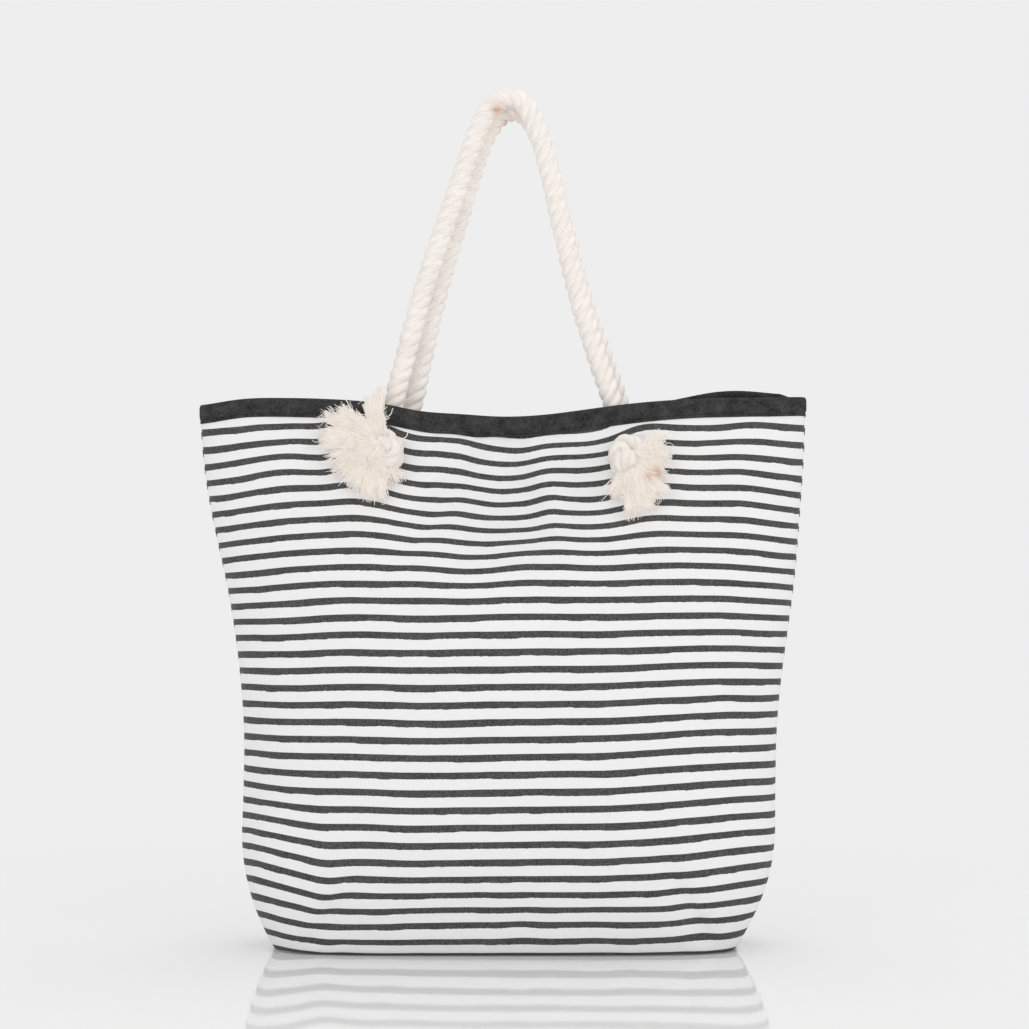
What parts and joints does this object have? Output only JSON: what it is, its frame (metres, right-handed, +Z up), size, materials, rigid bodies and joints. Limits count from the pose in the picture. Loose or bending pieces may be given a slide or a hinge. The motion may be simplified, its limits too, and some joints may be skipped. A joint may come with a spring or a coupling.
{
  "type": "beach bag",
  "caption": "Soft striped canvas tote with a dark bound rim and two rope handles that pass through eyelets and end in frayed knots.",
  "frame": {"origin": "under the middle of the base, on the surface that the bag stands on", "axes": "+Z up, +X to the right seen from the front, the front panel faces -Y"},
  "size_m": [0.4976, 0.1586, 0.6977],
  "materials": {
    "striped_canvas": "woven off-white canvas with printed charcoal stripes",
    "lining_cotton": "plain woven",
    "binding_tape": "charcoal twill tape, stitched",
    "rope_cotton": "three-strand twisted cotton",
    "eyelet_metal": "rolled sheet",
    "snap_metal": "satin"
  },
  "bodies": {
    "bag": {"front_panel": "striped_canvas", "front_lining": "lining_cotton", "front_binding": "binding_tape", "front_eyelets": "eyelet_metal", "front_eyelet_washers": "eyelet_metal", "front_snap_half": "snap_metal", "front_left_rope_end": "rope_cotton", "front_left_knot": "rope_cotton", "front_left_frayed_end": "rope_cotton", "front_right_rope_end": "rope_cotton", "front_right_knot": "rope_cotton", "front_right_frayed_end": "rope_cotton", "back_panel": "striped_canvas", "back_lining": "lining_cotton", "back_binding": "binding_tape", "back_eyelets": "eyelet_metal", "back_eyelet_washers": "eyelet_metal", "back_snap_half": "snap_metal", "back_left_rope_end": "rope_cotton", "back_left_knot": "rope_cotton", "back_left_frayed_end": "rope_cotton", "back_right_rope_end": "rope_cotton", "back_right_knot": "rope_cotton", "back_right_frayed_end": "rope_cotton"},
    "front_handle": {"front_handle_rope": "rope_cotton"},
    "back_handle": {"back_handle_rope": "rope_cotton"}
  },
  "joints": [
    {"name": "front_handle_fold", "type": "hinge", "parent": "bag", "child": "front_handle", "pos_m": [0, -0.02813, 0.43962], "axis": [1, 0, 0], "range_deg": [0, 105]},
    {"name": "back_handle_fold", "type": "hinge", "parent": "bag", "child": "back_handle", "pos_m": [0, 0.02813, 0.43962], "axis": [-1, 0, 0], "range_deg": [0, 105]}
  ]
}
